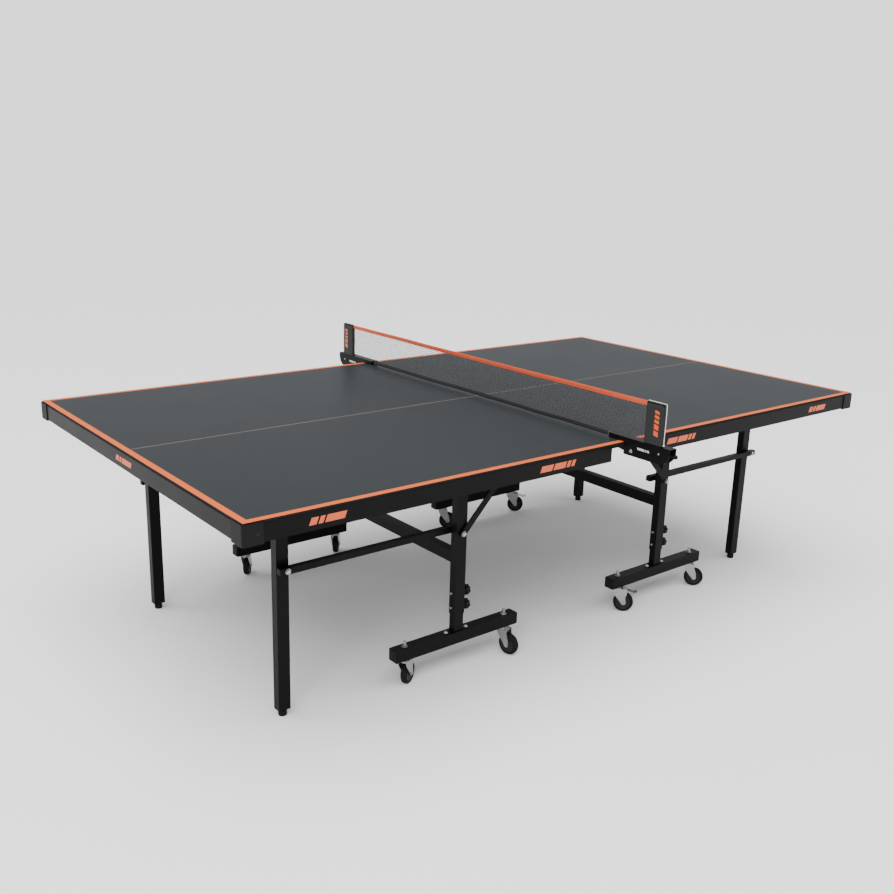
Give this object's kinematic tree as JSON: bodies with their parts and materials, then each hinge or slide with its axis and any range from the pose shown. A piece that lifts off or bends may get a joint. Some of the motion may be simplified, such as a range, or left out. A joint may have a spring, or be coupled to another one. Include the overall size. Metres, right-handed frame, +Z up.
{
  "type": "ping pong table",
  "caption": "Full-size folding table tennis table in two wheeled halves with steel apron frames, upright end legs on link bars, swivel castors and a clip-on net.",
  "frame": {"origin": "on the floor under the middle of the table, half way between the two sides", "axes": "+X along the table's length from the net towards the half that carries the net, +Y along the net towards the side named far, +Z up"},
  "size_m": [2.7456, 1.935, 0.9166],
  "materials": {
    "playing_surface": "dark grey-blue table paint, satin, with orange border lines and a thin pale centre line",
    "black_frame": "black powder coat, satin",
    "black_plastic": "moulded black plastic, matte",
    "black_rubber": "black rubber foot, matte",
    "zinc": "bright zinc plate",
    "wheel_rubber": "black rubber tread on a moulded core",
    "net_cloth": "knotted black mesh with an orange top tape and black sleeves",
    "cord": "twisted pale cord"
  },
  "bodies": {
    "left_trolley": {"left_post_frame": "black_frame"},
    "left_top": {"left_board": "playing_surface", "left_apron_frame": "black_frame", "left_corner_cap_near": "black_plastic", "left_corner_cap_far": "black_plastic"},
    "left_legs": {"left_leg_frame": "black_frame"},
    "left_links": {"left_link_bar_near": "black_frame", "left_link_bar_far": "black_frame"},
    "left_braces": {"left_lock_brace_near": "black_frame", "left_lock_brace_far": "black_frame"},
    "left_leveller_far": {"left_leveller_far": "black_rubber"},
    "left_foot_far": {"left_roller_foot_far": "black_frame"},
    "left_knob_far": {"left_clamp_knob_far": "black_plastic"},
    "left_fork_inner_far": {"left_castor_fork_inner_far": "zinc"},
    "left_wheel_inner_far": {"left_castor_wheel_inner_far": "wheel_rubber"},
    "left_pedal_inner_far": {"left_brake_pedal_inner_far": "zinc"},
    "left_fork_outer_far": {"left_castor_fork_outer_far": "zinc"},
    "left_wheel_outer_far": {"left_castor_wheel_outer_far": "wheel_rubber"},
    "left_leveller_near": {"left_leveller_near": "black_rubber"},
    "left_foot_near": {"left_roller_foot_near": "black_frame"},
    "left_knob_near": {"left_clamp_knob_near": "black_plastic"},
    "left_fork_inner_near": {"left_castor_fork_inner_near": "zinc"},
    "left_wheel_inner_near": {"left_castor_wheel_inner_near": "wheel_rubber"},
    "left_fork_outer_near": {"left_castor_fork_outer_near": "zinc"},
    "left_wheel_outer_near": {"left_castor_wheel_outer_near": "wheel_rubber"},
    "left_pedal_outer_near": {"left_brake_pedal_outer_near": "zinc"},
    "right_trolley": {"right_post_frame": "black_frame"},
    "right_top": {"right_board": "playing_surface", "right_apron_frame": "black_frame", "right_corner_cap_near": "black_plastic", "right_corner_cap_far": "black_plastic", "net": "net_cloth", "net_clamp_near": "black_frame", "net_cord_near": "cord", "net_clamp_far": "black_frame", "net_cord_far": "cord"},
    "right_legs": {"right_leg_frame": "black_frame"},
    "right_links": {"right_link_bar_near": "black_frame", "right_link_bar_far": "black_frame"},
    "right_braces": {"right_lock_brace_near": "black_frame", "right_lock_brace_far": "black_frame"},
    "right_leveller_near": {"right_leveller_near": "black_rubber"},
    "right_foot_near": {"right_roller_foot_near": "black_frame"},
    "right_knob_near": {"right_clamp_knob_near": "black_plastic"},
    "right_fork_inner_near": {"right_castor_fork_inner_near": "zinc"},
    "right_wheel_inner_near": {"right_castor_wheel_inner_near": "wheel_rubber"},
    "right_pedal_inner_near": {"right_brake_pedal_inner_near": "zinc"},
    "right_fork_outer_near": {"right_castor_fork_outer_near": "zinc"},
    "right_wheel_outer_near": {"right_castor_wheel_outer_near": "wheel_rubber"},
    "right_leveller_far": {"right_leveller_far": "black_rubber"},
    "right_foot_far": {"right_roller_foot_far": "black_frame"},
    "right_knob_far": {"right_clamp_knob_far": "black_plastic"},
    "right_fork_inner_far": {"right_castor_fork_inner_far": "zinc"},
    "right_wheel_inner_far": {"right_castor_wheel_inner_far": "wheel_rubber"},
    "right_fork_outer_far": {"right_castor_fork_outer_far": "zinc"},
    "right_wheel_outer_far": {"right_castor_wheel_outer_far": "wheel_rubber"},
    "right_pedal_outer_far": {"right_brake_pedal_outer_far": "zinc"},
    "jaw_near": {"clamp_jaw_near": "black_plastic"},
    "jaw_far": {"clamp_jaw_far": "black_plastic"}
  },
  "joints": [
    {"name": "right_roll_apart", "type": "slide", "parent": "left_trolley", "child": "right_trolley", "axis": [1, 0, 0], "range_m": [0, 0.32]},
    {"name": "left_fold", "type": "hinge", "parent": "left_trolley", "child": "left_top", "pos_m": [-0.495, 0, 0.685], "axis": [0, 1, 0], "range_deg": [0, 90]},
    {"name": "left_leg_swing", "type": "hinge", "parent": "left_top", "child": "left_legs", "pos_m": [-1.102, 0, 0.685], "axis": [0, -1, 0], "range_deg": [0, 90]},
    {"name": "left_link_swing", "type": "hinge", "parent": "left_trolley", "child": "left_links", "pos_m": [-0.495, 0, 0.482], "axis": [0, 1, 0], "range_deg": [0, 90]},
    {"name": "left_brace_swing", "type": "hinge", "parent": "left_trolley", "child": "left_braces", "pos_m": [-0.495, 0, 0.482], "axis": [0, 1, 0], "range_deg": [0, 137]},
    {"name": "left_leveller_far_screw", "type": "slide", "parent": "left_legs", "child": "left_leveller_far", "axis": [0, 0, -1], "range_m": [0, 0.015]},
    {"name": "left_foot_far_height", "type": "slide", "parent": "left_trolley", "child": "left_foot_far", "axis": [0, 0, -1], "range_m": [0, 0.03]},
    {"name": "left_knob_far_turn", "type": "hinge", "parent": "left_trolley", "child": "left_knob_far", "pos_m": [-0.495, 0.535, 0.274], "axis": [1, 0, 0], "continuous": true},
    {"name": "left_swivel_inner_far", "type": "hinge", "parent": "left_foot_far", "child": "left_fork_inner_far", "pos_m": [-0.286, 0.535, 0.1], "axis": [0, 0, 1], "continuous": true},
    {"name": "left_roll_inner_far", "type": "hinge", "parent": "left_fork_inner_far", "child": "left_wheel_inner_far", "pos_m": [-0.268, 0.55645, 0.0375], "axis": [-0.766, 0.6428, 0], "continuous": true},
    {"name": "left_brake_inner_far", "type": "hinge", "parent": "left_fork_inner_far", "child": "left_pedal_inner_far", "pos_m": [-0.2635, 0.56181, 0.083], "axis": [-0.766, 0.6428, 0], "range_deg": [0, 12]},
    {"name": "left_swivel_outer_far", "type": "hinge", "parent": "left_foot_far", "child": "left_fork_outer_far", "pos_m": [-0.704, 0.535, 0.1], "axis": [0, 0, 1], "continuous": true},
    {"name": "left_roll_outer_far", "type": "hinge", "parent": "left_fork_outer_far", "child": "left_wheel_outer_far", "pos_m": [-0.686, 0.55645, 0.0375], "axis": [-0.766, 0.6428, 0], "continuous": true},
    {"name": "left_leveller_near_screw", "type": "slide", "parent": "left_legs", "child": "left_leveller_near", "axis": [0, 0, -1], "range_m": [0, 0.015]},
    {"name": "left_foot_near_height", "type": "slide", "parent": "left_trolley", "child": "left_foot_near", "axis": [0, 0, -1], "range_m": [0, 0.03]},
    {"name": "left_knob_near_turn", "type": "hinge", "parent": "left_trolley", "child": "left_knob_near", "pos_m": [-0.495, -0.535, 0.274], "axis": [1, 0, 0], "continuous": true},
    {"name": "left_swivel_inner_near", "type": "hinge", "parent": "left_foot_near", "child": "left_fork_inner_near", "pos_m": [-0.286, -0.535, 0.1], "axis": [0, 0, 1], "continuous": true},
    {"name": "left_roll_inner_near", "type": "hinge", "parent": "left_fork_inner_near", "child": "left_wheel_inner_near", "pos_m": [-0.28114, -0.56257, 0.0375], "axis": [0.9848, 0.1736, 0], "continuous": true},
    {"name": "left_swivel_outer_near", "type": "hinge", "parent": "left_foot_near", "child": "left_fork_outer_near", "pos_m": [-0.704, -0.535, 0.1], "axis": [0, 0, 1], "continuous": true},
    {"name": "left_roll_outer_near", "type": "hinge", "parent": "left_fork_outer_near", "child": "left_wheel_outer_near", "pos_m": [-0.67975, -0.521, 0.0375], "axis": [-0.5, 0.866, 0], "continuous": true},
    {"name": "left_brake_outer_near", "type": "hinge", "parent": "left_fork_outer_near", "child": "left_pedal_outer_near", "pos_m": [-0.67369, -0.5175, 0.083], "axis": [-0.5, 0.866, 0], "range_deg": [0, 12]},
    {"name": "right_fold", "type": "hinge", "parent": "right_trolley", "child": "right_top", "pos_m": [0.495, 0, 0.685], "axis": [0, -1, 0], "range_deg": [0, 90]},
    {"name": "right_leg_swing", "type": "hinge", "parent": "right_top", "child": "right_legs", "pos_m": [1.102, 0, 0.685], "axis": [0, 1, 0], "range_deg": [0, 90]},
    {"name": "right_link_swing", "type": "hinge", "parent": "right_trolley", "child": "right_links", "pos_m": [0.495, 0, 0.482], "axis": [0, -1, 0], "range_deg": [0, 90]},
    {"name": "right_brace_swing", "type": "hinge", "parent": "right_trolley", "child": "right_braces", "pos_m": [0.495, 0, 0.482], "axis": [0, -1, 0], "range_deg": [0, 137]},
    {"name": "right_leveller_near_screw", "type": "slide", "parent": "right_legs", "child": "right_leveller_near", "axis": [0, 0, -1], "range_m": [0, 0.015]},
    {"name": "right_foot_near_height", "type": "slide", "parent": "right_trolley", "child": "right_foot_near", "axis": [0, 0, -1], "range_m": [0, 0.03]},
    {"name": "right_knob_near_turn", "type": "hinge", "parent": "right_trolley", "child": "right_knob_near", "pos_m": [0.495, -0.535, 0.274], "axis": [1, 0, 0], "continuous": true},
    {"name": "right_swivel_inner_near", "type": "hinge", "parent": "right_foot_near", "child": "right_fork_inner_near", "pos_m": [0.286, -0.535, 0.1], "axis": [0, 0, 1], "continuous": true},
    {"name": "right_roll_inner_near", "type": "hinge", "parent": "right_fork_inner_near", "child": "right_wheel_inner_near", "pos_m": [0.3058, -0.5548, 0.0375], "axis": [0.7071, 0.7071, 0], "continuous": true},
    {"name": "right_brake_inner_near", "type": "hinge", "parent": "right_fork_inner_near", "child": "right_pedal_inner_near", "pos_m": [0.31075, -0.55975, 0.083], "axis": [0.7071, 0.7071, 0], "range_deg": [0, 12]},
    {"name": "right_swivel_outer_near", "type": "hinge", "parent": "right_foot_near", "child": "right_fork_outer_near", "pos_m": [0.704, -0.535, 0.1], "axis": [0, 0, 1], "continuous": true},
    {"name": "right_roll_outer_near", "type": "hinge", "parent": "right_fork_outer_near", "child": "right_wheel_outer_near", "pos_m": [0.7238, -0.5548, 0.0375], "axis": [0.7071, 0.7071, 0], "continuous": true},
    {"name": "right_leveller_far_screw", "type": "slide", "parent": "right_legs", "child": "right_leveller_far", "axis": [0, 0, -1], "range_m": [0, 0.015]},
    {"name": "right_foot_far_height", "type": "slide", "parent": "right_trolley", "child": "right_foot_far", "axis": [0, 0, -1], "range_m": [0, 0.03]},
    {"name": "right_knob_far_turn", "type": "hinge", "parent": "right_trolley", "child": "right_knob_far", "pos_m": [0.495, 0.535, 0.274], "axis": [1, 0, 0], "continuous": true},
    {"name": "right_swivel_inner_far", "type": "hinge", "parent": "right_foot_far", "child": "right_fork_inner_far", "pos_m": [0.286, 0.535, 0.1], "axis": [0, 0, 1], "continuous": true},
    {"name": "right_roll_inner_far", "type": "hinge", "parent": "right_fork_inner_far", "child": "right_wheel_inner_far", "pos_m": [0.31025, 0.521, 0.0375], "axis": [0.5, 0.866, 0], "continuous": true},
    {"name": "right_swivel_outer_far", "type": "hinge", "parent": "right_foot_far", "child": "right_fork_outer_far", "pos_m": [0.704, 0.535, 0.1], "axis": [0, 0, 1], "continuous": true},
    {"name": "right_roll_outer_far", "type": "hinge", "parent": "right_fork_outer_far", "child": "right_wheel_outer_far", "pos_m": [0.72545, 0.517, 0.0375], "axis": [0.6428, 0.766, 0], "continuous": true},
    {"name": "right_brake_outer_far", "type": "hinge", "parent": "right_fork_outer_far", "child": "right_pedal_outer_far", "pos_m": [0.73081, 0.5125, 0.083], "axis": [0.6428, 0.766, 0], "range_deg": [0, 12]},
    {"name": "clamp_jaw_near_open", "type": "hinge", "parent": "right_top", "child": "jaw_near", "pos_m": [0.018, -0.7925, 0.735], "axis": [-1, 0, 0], "range_deg": [0, 6], "stiffness_Nm_per_rad": 2, "springref_deg": -20.05},
    {"name": "clamp_jaw_far_open", "type": "hinge", "parent": "right_top", "child": "jaw_far", "pos_m": [0.018, 0.7925, 0.735], "axis": [1, 0, 0], "range_deg": [0, 6], "stiffness_Nm_per_rad": 2, "springref_deg": -20.05}
  ],
  "couplings": [
    {"joint": "left_leg_swing", "follows": "left_fold", "ratio": 1},
    {"joint": "left_link_swing", "follows": "left_fold", "ratio": 1},
    {"joint": "left_brace_swing", "follows": "left_fold", "ratio": 1.516},
    {"joint": "right_leg_swing", "follows": "right_fold", "ratio": 1},
    {"joint": "right_link_swing", "follows": "right_fold", "ratio": 1},
    {"joint": "right_brace_swing", "follows": "right_fold", "ratio": 1.516},
    {"joint": "right_roll_apart", "follows": "right_fold", "m_per_rad": 0.2}
  ]
}
